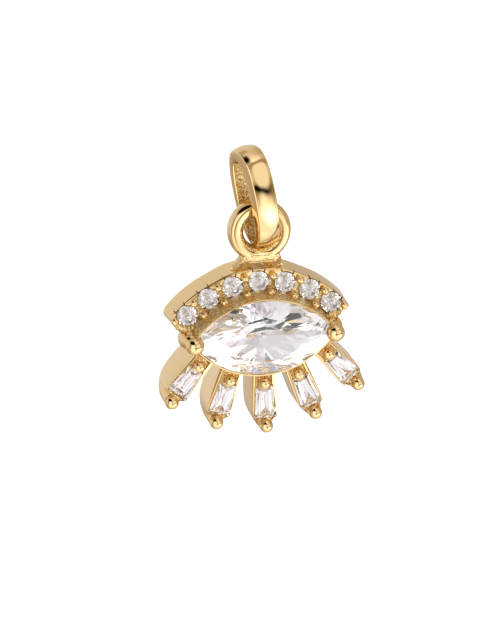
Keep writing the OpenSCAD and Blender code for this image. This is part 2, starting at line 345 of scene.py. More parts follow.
def add_node(
    tree: bpy.types.NodeTree, kind: str, inputs: dict[str | int, object] | None = None, **settings: object
) -> bpy.types.Node:
    """Adds a node to a tree, with its properties and its inputs.

    Args:
        tree: The node tree.
        kind: The node's type name.
        inputs: What each input takes, as in feed.
        settings: Properties of the node by name.

    Returns:
        The new node.
    """
    node = tree.nodes.new(kind)
    for key, value in settings.items():
        setattr(node, key, value)
    feed(tree, node, inputs or {})
    return node


def add_math(tree: bpy.types.NodeTree, operation: str, *values: object) -> bpy.types.NodeSocket:
    """Adds a math node that works on sockets or numbers, and returns its result."""
    return add_node(tree, "ShaderNodeMath", dict(enumerate(values)), operation=operation).outputs[0]


def add_mix(tree: bpy.types.NodeTree, share: object, under: object, over: object) -> bpy.types.NodeSocket:
    """Adds a mix of two colours.

    Args:
        tree: The node tree.
        share: Share of the second colour.
        under: First colour.
        over: Second colour.

    Returns:
        The colour's socket.
    """
    inputs = {"Factor": share, "A": under, "B": over}
    return add_node(tree, "ShaderNodeMix", inputs, data_type="RGBA").outputs["Result"]


def add_ramp(
    tree: bpy.types.NodeTree, share: bpy.types.NodeSocket, stops: Sequence[tuple[float, str]]
) -> bpy.types.NodeSocket:
    """Adds a ramp of colours.

    Args:
        tree: The node tree.
        share: Place on the ramp, from 0 to 1.
        stops: Place and colour of each stop.

    Returns:
        The colour's socket.
    """
    node = add_node(tree, "ShaderNodeValToRGB", {"Fac": share})
    elements = node.color_ramp.elements
    while len(elements) < len(stops):
        elements.new(0.5)
    for element, (at, tone) in zip(elements, stops):
        element.position = at
        element.color = colour(tone)
    return node.outputs["Color"]


def new_material(name: str) -> tuple[bpy.types.Material, bpy.types.NodeTree, bpy.types.Node]:
    """Starts a material.

    Args:
        name: Its name.

    Returns:
        The material, its node tree and its shader.
    """
    mat = bpy.data.materials.new(name)
    mat.use_nodes = True
    return mat, mat.node_tree, mat.node_tree.nodes["Principled BSDF"]


@dataclass(frozen=True)
class GoldFinish:
    """Yellow gold plating over cast brass: polished walls, and an as-cast grain in the recesses, coloured
    with painted shade in its pits and a painted highlight on its tops.

    Sizes and depths are in millimetres.
    """

    name: str = "yellow_gold_plating"
    polished: str = "EFCF98"
    # Painted highlight on the grain's tops, and painted shade in its pits
    grain_top_painted_highlight: str = "FFF0C0"
    grain_pit_painted_shade: str = "CC9A48"
    polished_roughness: float = 0.05
    grained_roughness: float = 0.27
    grain_size: float = 0.12
    grain_detail: float = 3.0
    grain_bite: float = 0.62
    grain_depth: float = 0.07
    pits_below: float = 0.42
    tops_above: float = 0.6
    satin_until: float = 0.4
    wave_size: float = 1.6
    wave_depth: float = 0.004

    def make(self) -> bpy.types.Material:
        """Builds the material.

        Returns:
            The material, which reads the grain mark of each face.
        """
        # Gives the eye warm mirrors on the walls, and amber grit in the recesses with painted shade in its
        # pits and painted highlights on its tops
        mat, tree, shader = new_material(self.name)
        where = add_node(tree, "ShaderNodeTexCoord").outputs["Object"]
        mark = add_node(tree, "ShaderNodeAttribute", attribute_name=GRAIN).outputs["Fac"]

        # Lumps of the as-cast skin, drawn coarser than the real ones so that they show
        scale = 1 / (self.grain_size * MM)
        inputs = {"Vector": where, "Scale": scale, "Detail": self.grain_detail, "Roughness": self.grain_bite}
        lumps = add_node(tree, "ShaderNodeTexNoise", inputs).outputs["Fac"]

        # Slow waves that hand polishing leaves
        inputs = {"Vector": where, "Scale": 1 / (self.wave_size * MM), "Detail": 1.0}
        waves = add_node(tree, "ShaderNodeTexNoise", inputs).outputs["Fac"]

        # Satin walls are only less glossy: the grain starts above their mark
        inputs = {"Value": mark, "From Min": self.satin_until}
        rough = add_node(tree, "ShaderNodeMapRange", inputs).outputs["Result"]
        inputs = {"Value": mark, "To Min": self.polished_roughness, "To Max": self.grained_roughness}
        gloss = add_node(tree, "ShaderNodeMapRange", inputs).outputs["Result"]

        # The grain's amber tone carries painted shade and a painted highlight that follow the bump's height:
        # dark amber in its pits, pale yellow on its tops
        stops = [(self.pits_below, self.grain_pit_painted_shade), (self.tops_above, self.grain_top_painted_highlight)]
        tone = add_mix(tree, rough, colour(self.polished), add_ramp(tree, lumps, stops))

        inputs = {"Height": waves, "Distance": self.wave_depth * MM, "Strength": 1.0}
        broad = add_node(tree, "ShaderNodeBump", inputs).outputs["Normal"]
        inputs = {"Height": lumps, "Distance": self.grain_depth * MM, "Strength": rough, "Normal": broad}
        fine = add_node(tree, "ShaderNodeBump", inputs).outputs["Normal"]
        feed(tree, shader, {"Metallic": 1.0, "Base Color": tone, "Roughness": gloss, "Normal": fine})
        return mat


@dataclass(frozen=True)
class ZirconiaFinish:
    """Clear cut cubic zirconia, polished on every facet."""

    name: str = "clear_zirconia"
    body: str = "DED9DD"
    refraction: float = 2.16
    turns: int = 2

    def make(self) -> bpy.types.Material:
        """Builds the material.

        Returns:
            The material.
        """
        # Gives the eye clear stones, with white flashes between pale grey facets
        mat, tree, shader = new_material(self.name)

        # Light that has turned often inside the stone leaves it, as it does from a real one
        depth = add_node(tree, "ShaderNodeLightPath").outputs["Glossy Depth"]
        kept = add_math(tree, "LESS_THAN", depth, self.turns + 0.5)
        feed(tree, shader, {"Base Color": colour(self.body), "Roughness": 0.0, "IOR": self.refraction})
        feed(tree, shader, {"Transmission Weight": 1.0, "Alpha": kept})
        return mat


@dataclass(frozen=True)
class SweepFinish:
    """Matt white studio sweep."""

    name: str = "white_sweep"
    tone: str = "F7F7F7"
    roughness: float = 0.9

    def make(self) -> bpy.types.Material:
        """Builds the material.

        Returns:
            The material.
        """
        # Gives the eye plain white paper that runs out of sight
        mat, tree, shader = new_material(self.name)
        feed(tree, shader, {"Base Color": colour(self.tone), "Roughness": self.roughness})
        return mat


@dataclass
class Lens:
    """The eye's outline: two circles that meet at its tips."""

    length: float = 8.4
    height: float = 4.5
    steps: int = 72

    @property
    def radius(self) -> float:
        """Radius of both circles."""
        return ((self.length / 2) ** 2 + (self.height / 2) ** 2) / self.height

    @property
    def drop(self) -> float:
        """How far each circle's middle lies beyond the eye's middle line."""
        return self.radius - self.height / 2

    def ring(self, grow: float, share: float = 1.0) -> Ring:
        """Makes the outline, grown outwards or scaled, from the right tip over the top.

        Args:
            grow: Distance by which it grows.
            share: Scale of the outline.

        Returns:
            The points, at height 0.
        """
        radius, drop = (self.radius + grow) * share, self.drop * share
        tip = math.degrees(math.asin(drop / radius))
        upper = arc((0, -drop), radius, tip, 180 - tip, self.steps + 1)
        return upper[:-1] + [Vector((-p.x, -p.y, 0)) for p in upper[:-1]]

    def at(self, turn: float) -> Vector:
        """Finds a point of the outline.

        Args:
            turn: Share of the way round, from the right tip over the top.

        Returns:
            The point, at height 0.
        """
        tip = math.asin(self.drop / self.radius)
        angle = tip + (math.pi - 2 * tip) * (turn * 2 % 1)
        sign = 1 if turn % 1 < 0.5 else -1
        return Vector((self.radius * math.cos(angle), self.radius * math.sin(angle) - self.drop, 0)) * sign


@dataclass(frozen=True)
class Cut:
    """Proportions of a brilliant cut: shares of the girdle's outline, and shares of a height."""

    mains: int
    table: float
    star: float
    star_rise: float
    lower: float
    lower_drop: float
    inner: float
    inner_drop: float


@dataclass
class CutStone:
    """A brilliant: a table, stars, kites and halves over the girdle, and rows of facets under it."""

    outline: Callable[[float], Vector]
    cut: Cut
    top: float
    girdle_top: float
    girdle_low: float
    culet: float

    def tier(self, share: float, z: float, shift: float, step: float = 1.0) -> Ring:
        """Makes one row of corners.

        Args:
            share: Scale of the girdle's outline.
            z: Height of the row.
            shift: How many mains the row is turned by.
            step: Distance between two corners, in mains.

        Returns:
            The corners.
        """
        mains = self.cut.mains
        points = [self.outline((i * step + shift) / mains) * share for i in range(round(mains / step))]
        return [Vector((p.x, p.y, z)) for p in points]

    def draft(self, centre: Vector = Vector((0, 0, 0))) -> Draft:
        """Builds the stone's facets.

        Args:
            centre: The stone's place on the bench.

        Returns:
            The draft.
        """
        cut, n = self.cut, self.cut.mains
        draft = Draft()
        crown, deep = self.top - self.girdle_top, self.girdle_low - self.culet

        def row(share: float, z: float, shift: float, step: float = 1.0) -> list[int]:
            """Adds a row of corners and returns their numbers."""
            return draft.add_ring([p + centre for p in self.tier(share, z, shift, step)])

        table = row(cut.table, self.top, 0)
        star = row(cut.star, self.girdle_top + crown * cut.star_rise, 0.5)
        upper = row(1, self.girdle_top, 0, 0.5)
        lower = row(1, self.girdle_low, 0, 0.5)
        halves = row(cut.lower, self.girdle_low - deep * cut.lower_drop, 0.5)
        inner = row(cut.inner, self.girdle_low - deep * cut.inner_drop, 0)
        tip = draft.add_ring([Vector((0, 0, self.culet)) + centre])[0]
        draft.add_face(table)
        for i in range(n):
            j, main, half, after = (i + 1) % n, 2 * i, 2 * i + 1, (2 * i + 2) % (2 * n)
            draft.add_face((table[i], star[i], table[j]))
            draft.add_face((table[j], star[i], upper[after]))
            draft.add_face((table[j], upper[after], star[j]))
            draft.add_face((star[i], upper[main], upper[half]))
            draft.add_face((star[i], upper[half], upper[after]))
            for a, b in ((main, half), (half, after)):
                draft.add_face((upper[a], lower[a], lower[b], upper[b]))
                draft.add_face((lower[a], halves[i], lower[b]))
            draft.add_face((lower[after], halves[i], inner[j]))
            draft.add_face((lower[after], inner[j], halves[j]))
            draft.add_face((halves[i], inner[i], inner[j]))
            draft.add_face((inner[i], tip, inner[j]))
        return draft


@dataclass
class Baguette:
    """A tapered baguette stone with a stepped crown and a keel along its back."""

    near: float = 6.24
    length: float = 1.88
    half_near: float = 0.5
    half_far: float = 0.67
    top: float = 1.08

    def draft(self) -> Draft:
        """Builds the stone that points down, about the fan's middle.

        Returns:
            The draft.
        """
        # Share of the width, share of the length, depth under the table
        rows = [(0.7, 0.84, 0.0), (1.0, 1.0, 0.14), (1.0, 1.0, 0.2), (0.52, 0.76, 0.43), (0.03, 0.42, 0.69)]
        rings = []
        mid = self.near + self.length / 2
        for wide, long, deep in rows:
            ring = []
            for side, end in ((-1, -1), (1, -1), (1, 1), (-1, 1)):
                half = self.half_near if end < 0 else self.half_far
                reach = mid + end * self.length / 2 * long
                ring.append(Vector((side * half * wide, -reach, self.top - deep)))
            rings.append(ring)
        return Draft().loft(rings)


@dataclass
class Basket:
    """The wall that holds the eye stone, with its bright rim."""

    lens: Lens
    wall: float = 0.13
    foot: float = 0.38
    gap: float = 0.03
    back: float = -1.72
    seat: float = 0.75
    hole_share: float = 0.82
    rail: float = 1.12
    rim: float = 1.35
    soft: float = 0.03

    def top(self, point: Vector) -> float:
        """Height of the wall's top: the rim above the stone, the lower rail below it."""
        return self.rail + (self.rim - self.rail) * smooth(0.05, 0.55, point.y)

    def draft(self) -> Draft:
        """Builds the wall, its seat and its open back.

        Returns:
            The draft of the basket.
        """
        sections: list[tuple[float, float, Callable[[Vector], float]]] = [
            (self.wall, 1.0, lambda p: self.back),
            (self.wall, 1.0, lambda p: -0.9),
            (self.foot, 1.0, lambda p: -0.35),
            (self.foot * 0.95, 1.0, lambda p: -0.12),
            (self.foot * 0.72, 1.0, lambda p: 0.06),
            (self.foot * 0.5, 1.0, lambda p: 0.34),
            (self.wall, 1.0, lambda p: self.top(p) - self.soft),
            (self.wall - 0.01, 1.0, lambda p: self.top(p) - self.soft * 0.3),
            (self.wall - self.soft, 1.0, self.top),
            (self.gap + self.soft, 1.0, self.top),
            (self.gap, 1.0, lambda p: self.top(p) - self.soft),
            (self.gap, 1.0, lambda p: self.seat),
            (0.0, self.hole_share, lambda p: self.seat),
            (0.0, self.hole_share, lambda p: self.back),
        ]
        rings = []
        outer = self.lens.ring(self.wall)
        for grow, share, height in sections:
            ring = []
            for p, q in zip(self.lens.ring(grow, share), outer):
                if grow > self.wall:
                    p = q.lerp(p, smooth(0.1, 0.6, q.y))
                ring.append(Vector((p.x, p.y, height(q))))
            rings.append(ring)
        count = len(rings[0])

        # Rings whose faces lie inside the wall and in the hole, and rings whose faces lie outside
        inside, outside = range(10, 13), range(6)

        def finish(i: int, j: int) -> Surface:
            """Grained inside and, above the stone, outside. Polished elsewhere."""
            rough = i in inside or i in outside and j < count / 2
            return Surface.GRAINED if rough else Surface.POLISHED

        return Draft().loft(rings, closed=True, surface=finish)


@dataclass
class Brow:
    """The brow: a slab with a rounded front edge, cheeks, seats, holes and a grained channel."""

    row_radius: float = 6.3
    middle: float = -3.2
    outside: float = 0.77
    inside: float = 0.9
    thick: float = 1.75
    cheek_thick: float = 0.38
    edge: float = 0.12
    taper: float = 0.1
    swell: float = 0.13
    nose: tuple[float, float] = (4.95, 1.17)
    nose_radius: float = 0.45
    post: tuple[float, float] = (4.4, 0.0)
    post_radius: float = 0.5
    waist: float = 0.24
    crown_end: float = 42.2
    nose_start: float = 41.0
    post_end: float = -120.0
    inner_start: float = 46.9
    heel: tuple[float, float] = (3.9, -0.3)
    count: int = 7
    step: float = 14.4
    seat_radius: float = 0.645
    lip_radius: float = 0.67
    seat_deep: float = 0.62
    hole_radius: float = 0.4
    channel_deep: float = 0.1

    def on_row(self, steps: float, out: float) -> Vector:
        """Place on the arc of the stones, a number of steps from its middle."""
        angle, radius = math.radians(steps * self.step), self.row_radius + out
        return Vector((radius * math.sin(angle), self.middle + radius * math.cos(angle), 0))

    def spots(self) -> Ring:
        """Middles of the round stones, from the left."""
        return [self.on_row(i - (self.count - 1) / 2, 0) for i in range(self.count)]

    def half_outline(self) -> list[tuple[Vector, float]]:
        """Right half of the outline, clockwise from the top.

        Returns:
            Points with the share of the edge's rounding that each one takes.
        """
        centre = (0.0, self.middle)
        crown = arc(centre, self.row_radius + self.outside, 90, self.crown_end, 44)
        for p in crown:
            p.y += self.swell * (1 - smooth(1.5, 3.0, p.x))
        across = Vector(self.post) - Vector(self.nose)
        length = across.length
        lean = (self.nose_radius - self.post_radius) / length
        along = across / length
        side = Vector((-along.y, along.x)) * math.sqrt(1 - lean * lean) + along * lean
        turn = math.degrees(math.atan2(side.y, side.x))
        nose = arc(self.nose, self.nose_radius, self.nose_start, turn, 12)
        post = arc(self.post, self.post_radius, turn, self.post_end, 22)
        pull = side.to_3d() * self.waist * 2
        control = (nose[-1] + post[0]) / 2 - pull
        waist = []
        for i in range(1, 12):
            t = i / 12
            waist.append(nose[-1] * (1 - t) ** 2 + control * 2 * t * (1 - t) + post[0] * t * t)
        outer = [(p, 1.0) for p in crown[1:] + nose + waist + post]
        for i in range(1, 7):
            outer[-i] = (outer[-i][0], i / 7)
        inner = arc(centre, self.row_radius - self.inside, self.inner_start, 90, 36)
        return outer + [(Vector((*self.heel, 0)), 0.0)] + [(p, 0.0) for p in inner[:-1]]

    def slab(self) -> Draft:
        """Builds the solid slab with its rounded front edge.

        Returns:
            The draft.
        """
        half = self.half_outline()
        top = Vector((0, self.middle + self.row_radius + self.outside + self.swell, 0))
        low = Vector((0, self.middle + self.row_radius - self.inside, 0))
        left = [(Vector((-p.x, p.y, 0)), soft) for p, soft in reversed(half)]
        outline = [(top, 1.0)] + half + [(low, 0.0)] + left
        count = len(outline)
        inward = []
        for i in range(count):
            before, after = outline[i - 1][0], outline[(i + 1) % count][0]
            step = (after - before).normalized()
            inward.append(Vector((step.y, -step.x, 0)))
        rings = [[p + Vector((0, 0, -self.thick)) for p, soft in outline]]
        levels = 8
        for k in range(levels + 1):
            a = math.pi / 2 * k / levels
            inset, z = self.taper + self.edge * (1 - math.cos(a)), self.edge * (math.sin(a) - 1)
            corners = zip(outline, inward)
            rings.append([p + n * inset * soft + Vector((0, 0, z)) for (p, soft), n in corners])
        return Draft().loft(rings)

    def seats(self) -> Draft:
        """Builds what is cut away for the round stones and behind them.

        Returns:
            The draft.
        """
        # Height and radius, from behind the hole to in front of the lip
        rows = [
            (-self.thick - 1, self.hole_radius), (-self.seat_deep, self.hole_radius),
            (-self.seat_deep + 0.02, self.seat_radius), (-0.05, self.seat_radius),
            (0.0, self.lip_radius), (1.0, self.lip_radius),
        ]
        draft = Draft()
        for p in self.spots():
            draft.turn([(z, r, p.x, p.y) for z, r in rows], 64)
        return draft

    def channel(self) -> Draft:
        """Builds what is cut away between the stones and the basket.

        Returns:
            The draft.
        """
        # Over the row's outer edge from right to left, and back along the basket
        outer = arc((0, self.middle), self.row_radius + 0.1, 44, 136, 80)
        ends = [self.on_row(-3.42, -0.42), self.on_row(-3.36, -0.88)]
        inner = arc((0, self.middle), self.row_radius - self.inside - 0.1, 138, 42, 80)
        ring = outer + ends + inner + [Vector((-p.x, p.y, 0)) for p in reversed(ends)]
        return Draft().loft([[p + Vector((0, 0, z)) for p in ring] for z in (-self.channel_deep, 1.0)])

    def nicks(self) -> Draft:
        """Builds the short cuts that the graver leaves outside each round stone.

        Returns:
            The draft.
        """
        # Distance from the stone's middle, half width and depth
        rows = [(0.58, 0.07, 0.4), (0.74, 0.06, 0.42), (0.88, 0.015, 0.36)]
        draft = Draft()
        for centre in self.spots():
            outward = (centre - Vector((0, self.middle, 0))).normalized()
            for lean in (-31, 27):
                way = Matrix.Rotation(math.radians(lean), 3, "Z") @ outward
                side = Vector((-way.y, way.x, 0))
                rings = []
                for reach, wide, deep in rows:
                    corners = [(-1, 0.3), (1, 0.3), (0.4, -deep), (-0.4, -deep)]
                    at = centre + way * reach
                    rings.append([at + side * wide * x + Vector((0, 0, z)) for x, z in corners])
                draft.loft(rings)
        return draft

    def cheek_backs(self) -> Draft:
        """Builds what is cut away behind the cheeks, which are thinner than the brow.

        Returns:
            The draft.
        """
        # A block on each side, from the basket out past the brow's end
        draft = Draft()
        for side in (-1, 1):
            corners = [(2.6, -2.0), (6.0, -2.0), (6.0, 0.72), (2.6, 0.72)]
            rings = [[Vector((side * x, y, z)) for x, y in corners] for z in (-3.0, -self.cheek_thick)]
            draft.loft(rings)
        return draft

    def build(self, bench: Bench, mark: bpy.types.Material) -> bpy.types.Object:
        """Builds the brow.

        Args:
            bench: Where the pendant stands.
            mark: Stand-in material for the cut faces.

        Returns:
            The object.
        """
        piece = self.slab().build("brow_casting", bench.place)
        plain = bpy.data.materials.new("plain_mark")
        piece.data.materials.append(plain)

        # The boolean solver keeps every face of a slab of triangles, but not of one with wide caps
        bm = bmesh.new()
        bm.from_mesh(piece.data)
        bmesh.ops.triangulate(bm, faces=bm.faces)
        bm.to_mesh(piece.data)
        bm.free()
        carve(piece, self.cheek_backs().build("cut", bench.place), plain)
        carve(piece, self.channel().build("cut", bench.place), mark)
        carve(piece, self.seats().build("cut", bench.place), mark)
        carve(piece, self.nicks().build("cut", bench.place), mark)
        mark_cuts(piece, mark)
        piece.data.set_sharp_from_angle(angle=math.radians(SHARP))
        return piece


@dataclass
class Claws:
    """The post and the ball claw at each tip of the eye."""

    ball_x: float = 4.2
    ball_z: float = 1.5
    ball_d: float = 1.08
    neck_r: float = 0.39
    lump_size: float = 0.14

    def draft(self) -> Draft:
        """Builds both claws.

        Returns:
            The draft.
        """
        draft = Draft()
        r = self.ball_d / 2
        join = math.asin(self.neck_r / r)

        # Height, radius and distance of the axis from the eye's middle
        rows = [
            (-0.34, 0.54, 4.34), (-0.1, 0.57, 4.34), (0.2, 0.585, 4.33), (0.45, 0.57, 4.31),
            (0.7, 0.54, 4.28), (0.88, 0.505, 4.25), (1.0, 0.465, 4.22), (1.07, 0.425, 4.2),
            (1.12, 0.39, 4.2),
        ]
        levels = 26
        for i in range(levels + 1):
            a = join + (math.pi - join) * i / levels
            rows.append((self.ball_z - r * math.cos(a), max(r * math.sin(a), 0.01), self.ball_x))
        for side in (-1, 1):
            draft.turn([(z, radius, side * x, 0.0) for z, radius, x in rows], 56)
            draft.loft(self.web(side), surface=lambda i, j: Surface.GRAINED)
        return draft

    def web(self, side: int) -> list[Ring]:
        """Builds the lumpy metal between the end stone, the claw and the eye's tip.

        Args:
            side: -1 on the left, 1 on the right.

        Returns:
            The rings of the web.
        """
        # Distance from the middle, height, front and radius
        path = [
            (5.12, 0.86, -0.34, 0.05), (5.0, 0.8, -0.28, 0.2), (4.7, 0.68, -0.14, 0.28),
            (4.4, 0.6, 0.0, 0.3), (4.15, 0.55, 0.06, 0.27), (3.95, 0.55, 0.0, 0.18),
            (3.85, 0.56, -0.04, 0.04),
        ]
        rings = []
        for i in range(31):
            t = i / 30 * (len(path) - 1)
            k = min(int(t), len(path) - 2)
            x, y, z, radius = (a + (b - a) * (t - k) for a, b in zip(path[k], path[k + 1]))
            ring = []
            for point in arc((0, 0), radius, 0, 345, 24):
                spot = Vector((side * x, y + point.x, z + point.y))
                ring.append(spot + Vector((0, point.x, point.y)) * 0.5 * noise.noise(spot / self.lump_size))
            rings.append(ring)
        return rings


@dataclass
class Lashes:
    """The fan of lashes: channels with a thin rim, a grained floor and a bead at each end."""

    count: int = 5
    step: float = 20.2
    pivot: float = 3.1
    root: float = 5.12
    open_from: float = 5.5
    stone_from: float = 6.2
    stone_to: float = 8.15
    tip: float = 9.03
    front: float = 0.8
    half_root: float = 0.63
    half_mid: float = 0.745
    mid: float = 7.75
    rim: float = 0.06
    pad_half: float = 0.46
    stone_half: tuple[float, float] = (0.515, 0.685)
    curve_at: tuple[float, float] = (6.6, 0.35)
    curve_radius: float = 2.6
    pad_deep: float = 0.2
    stone_deep: float = 0.43
    bead_top: tuple[float, float, float] = (5.98, 1.0, 0.35)
    bead_tip: tuple[float, float, float] = (8.64, 1.05, 0.4)
    pace: float = 0.045

    def widening(self, r: float) -> float:
        """Half of the lash's width where it still widens, at a distance from the fan's middle."""
        return self.half_root + (self.half_mid - self.half_root) * (r - self.root) / (self.mid - self.root)

    def body_width(self, r: float) -> float:
        """Works out half of the lash's width behind its front.

        Args:
            r: Distance from the fan's middle.

        Returns:
            Half of the width.
        """
        if r < self.mid:
            return self.widening(r)

        # Slightly more pointed than half an ellipse, and never quite closed
        t = (r - self.mid) / (self.tip - self.mid)
        return self.half_mid * math.sqrt(max(1 - t**1.7, 0.0008))

    def front_width(self, r: float) -> float:
        """Works out half of the width of its front, which narrows to the bead's foot past the stone.

        Args:
            r: Distance from the fan's middle.

        Returns:
            Half of the width.
        """
        wide = min(self.widening(r), self.half_mid)
        bead, cap = self.bead_tip[0], self.bead_tip[2] + 0.02
        round_off = math.sqrt(max(1 - (max(r - bead, 0) / (self.tip - bead)) ** 2, 0.001))
        return wide + (cap * round_off - wide) * smooth(self.stone_to - 0.02, self.stone_to + 0.26, r)

    def back(self, r: float) -> float:
        """Depth of the lash's back, on its curve."""
        far = min(abs(r - self.curve_at[0]), self.curve_radius - 0.05)
        return self.curve_at[1] - math.sqrt(self.curve_radius**2 - far * far)

    def floor(self, r: float) -> float:
        """Works out the height of the channel's floor: upper pad, stone's seat, then the tip's pad.

        Args:
            r: Distance from the fan's middle.

        Returns:
            The height.
        """
        pad = self.front - self.pad_deep
        seat = self.front - self.stone_deep
        down = smooth(self.open_from - 0.06, self.open_from + 0.02, r)
        level = self.front - 0.002 + (pad - self.front + 0.002) * down
        level += (seat - pad) * smooth(self.stone_from - 0.04, self.stone_from, r)
        level += (pad + 0.12 - seat) * smooth(self.stone_to, self.stone_to + 0.04, r)
        return level + (self.front - 0.002 - pad - 0.12) * smooth(self.tip - 0.42, self.tip - 0.2, r)

    def section(self, r: float) -> Ring:
        """Builds the cross-section of a lash.

        Args:
            r: Distance from the fan's middle.

        Returns:
            The points, from the back of the right wall over the channel to the left.
        """
        b, z_low, z_top, z_floor = self.body_width(r), self.back(r), self.front, self.floor(r)
        w = min(self.front_width(r), b)
        soft = min(0.22, b * 0.45)
        along = (r - self.stone_from) / (self.stone_to - self.stone_from)
        beside = self.stone_half[0] + (self.stone_half[1] - self.stone_half[0]) * along
        inner = self.pad_half + (beside - self.pad_half) * smooth(self.stone_from - 0.05, self.stone_from, r)
        inner = max(min(inner, w - self.rim), w * 0.4)
        side = [
            (b * 0.55, z_low), (b - soft * 0.45, z_low + soft * 0.22), (b - soft * 0.1, z_low + soft * 0.7),
            (b, z_low + soft * 1.4), (b - (b - w) * 0.15, z_top - 0.4), (w, z_top - 0.05),
            (w - 0.012, z_top - 0.015), (w - 0.035, z_top), (inner + 0.015, z_top),
            (inner, z_top - 0.02), (inner - 0.004, z_floor),
        ]
        return [Vector((x, -r, z)) for x, z in side] + [Vector((-x, -r, z)) for x, z in reversed(side)]

    def draft(self) -> Draft:
        """Builds one lash that points down, about the fan's middle.

        Returns:
            The draft.
        """
        stations = [self.root + self.pace * i for i in range(int((self.tip - self.root) / self.pace))]
        stations += [
            self.tip - 0.02, self.tip - 0.006, self.open_from - 0.06, self.open_from + 0.02,
            self.stone_from - 0.04, self.stone_from, self.stone_to, self.stone_to + 0.04,
        ]
        stations = sorted(set(round(r, 4) for r in stations))

        # Faces across the section: those in the channel, and all of those on the front
        channel, front = range(9, 12), range(5, 16)

        def finish(i: int, j: int) -> Surface:
            """Grained in the channel, satin on the walls, polished on the rim."""
            if j in channel and stations[i] > self.open_from - 0.08:
                return Surface.GRAINED
            return Surface.POLISHED if j in front else Surface.SATIN

        draft = Draft().loft([self.section(r) for r in stations], surface=finish)
        for r, z, radius in (self.bead_top, self.bead_tip):
            draft.ball(Vector((0, -r, z)), radius)
        return draft

    def build(self, bench: Bench, gold: bpy.types.Material) -> bpy.types.Object:
        """Builds the fan from one lash.

        Args:
            bench: Where the pendant stands.
            gold: The metal.

        Returns:
            The object.
        """
        piece = self.draft().build("lashes", stand)
        centre = bench.place(Vector((0, self.pivot, 0)))
        values = {"Count": self.count, "Step": math.radians(self.step), "Radius": 0.0, "Centre": centre}
        CopyTool.new("fan", gold, turned=True).apply(piece, values)
        return piece


@dataclass
class CopyTool:
    """A geometry node tree that sets copies of a piece along an arc that faces the viewer."""

    tree: bpy.types.NodeTree

    @classmethod
    def new(cls, name: str, material: bpy.types.Material, turned: bool) -> "CopyTool":
        """Builds the tree, with the inputs Count, Step, Radius and Centre.

        Args:
            name: Name of the tree.
            material: The copies' material.
            turned: Whether each copy turns with its place on the arc.

        Returns:
            The tool.
        """
        tree = bpy.data.node_groups.new(name, "GeometryNodeTree")
        kinds = {"Count": "Int", "Step": "Float", "Radius": "Float", "Centre": "Vector"}
        tree.interface.new_socket("Geometry", in_out="INPUT", socket_type="NodeSocketGeometry")
        for label, kind in kinds.items():
            tree.interface.new_socket(label, in_out="INPUT", socket_type=f"NodeSocket{kind}")
        tree.interface.new_socket("Geometry", in_out="OUTPUT", socket_type="NodeSocketGeometry")
        given = add_node(tree, "NodeGroupInput").outputs

        # Angle of each copy about the middle one
        index = add_node(tree, "GeometryNodeInputIndex").outputs[0]
        half = add_math(tree, "MULTIPLY", add_math(tree, "SUBTRACT", given["Count"], 1.0), 0.5)
        angle = add_math(tree, "MULTIPLY", add_math(tree, "SUBTRACT", index, half), given["Step"])

        across = add_math(tree, "MULTIPLY", add_math(tree, "SINE", angle), given["Radius"])
        up = add_math(tree, "MULTIPLY", add_math(tree, "COSINE", angle), given["Radius"])
        away = add_node(tree, "ShaderNodeCombineXYZ", {"X": across, "Z": up}).outputs["Vector"]
        inputs = {"Count": given["Count"], "Start Location": given["Centre"], "Offset": (0, 0, 0)}
        line = add_node(tree, "GeometryNodeMeshLine", inputs).outputs["Mesh"]
        inputs = {"Geometry": line, "Offset": away}
        spots = add_node(tree, "GeometryNodeSetPosition", inputs).outputs["Geometry"]
        inputs = {"Points": spots, "Instance": given["Geometry"]}
        if turned:
            lean = add_math(tree, "MULTIPLY", angle, -1.0)
            inputs["Rotation"] = add_node(tree, "ShaderNodeCombineXYZ", {"Y": lean}).outputs["Vector"]
        copies = add_node(tree, "GeometryNodeInstanceOnPoints", inputs).outputs["Instances"]
        real = add_node(tree, "GeometryNodeRealizeInstances", {"Geometry": copies}).outputs["Geometry"]
        inputs = {"Geometry": real, "Material": material}
        finished = add_node(tree, "GeometryNodeSetMaterial", inputs).outputs["Geometry"]
        add_node(tree, "NodeGroupOutput", {"Geometry": finished})
        return cls(tree)

    def apply(self, piece: bpy.types.Object, values: dict[str, object]) -> None:
        """Runs the tree on a piece and keeps the result as its plain mesh.

        Args:
            piece: The object.
            values: Input values by name.
        """
        step = piece.modifiers.new(self.tree.name, "NODES")
        step.node_group = self.tree
        for item in self.tree.interface.items_tree:
            if item.in_out == "INPUT" and item.name in values:
                value = values[item.name]
                step[item.identifier] = list(value) if isinstance(value, Vector) else value
        settle(piece)


@dataclass
class BeadRow:
    """A row of set beads along the brow."""

    name: str
    count: int
    steps: float
    out: float
    radius: float = 0.25
    height: float = 0.2

    def build(self, brow: Brow, bench: Bench, tool: CopyTool) -> bpy.types.Object:
        """Builds the row.

        Args:
            brow: The brow that the beads stand on.
            bench: Where the pendant stands.
            tool: The node tree that sets beads along an arc.

        Returns:
            The object.
        """
        draft = Draft()
        draft.ball(Vector((0, 0, 0)), self.radius, 24, 16)
        piece = draft.build(self.name, stand)
        values = {
            "Count": self.count,
            "Step": math.radians(self.steps * brow.step),
            "Radius": (brow.row_radius + self.out) * MM,
            "Centre": bench.place(Vector((0, brow.middle, self.height))),
        }
        tool.apply(piece, values)
        return piece


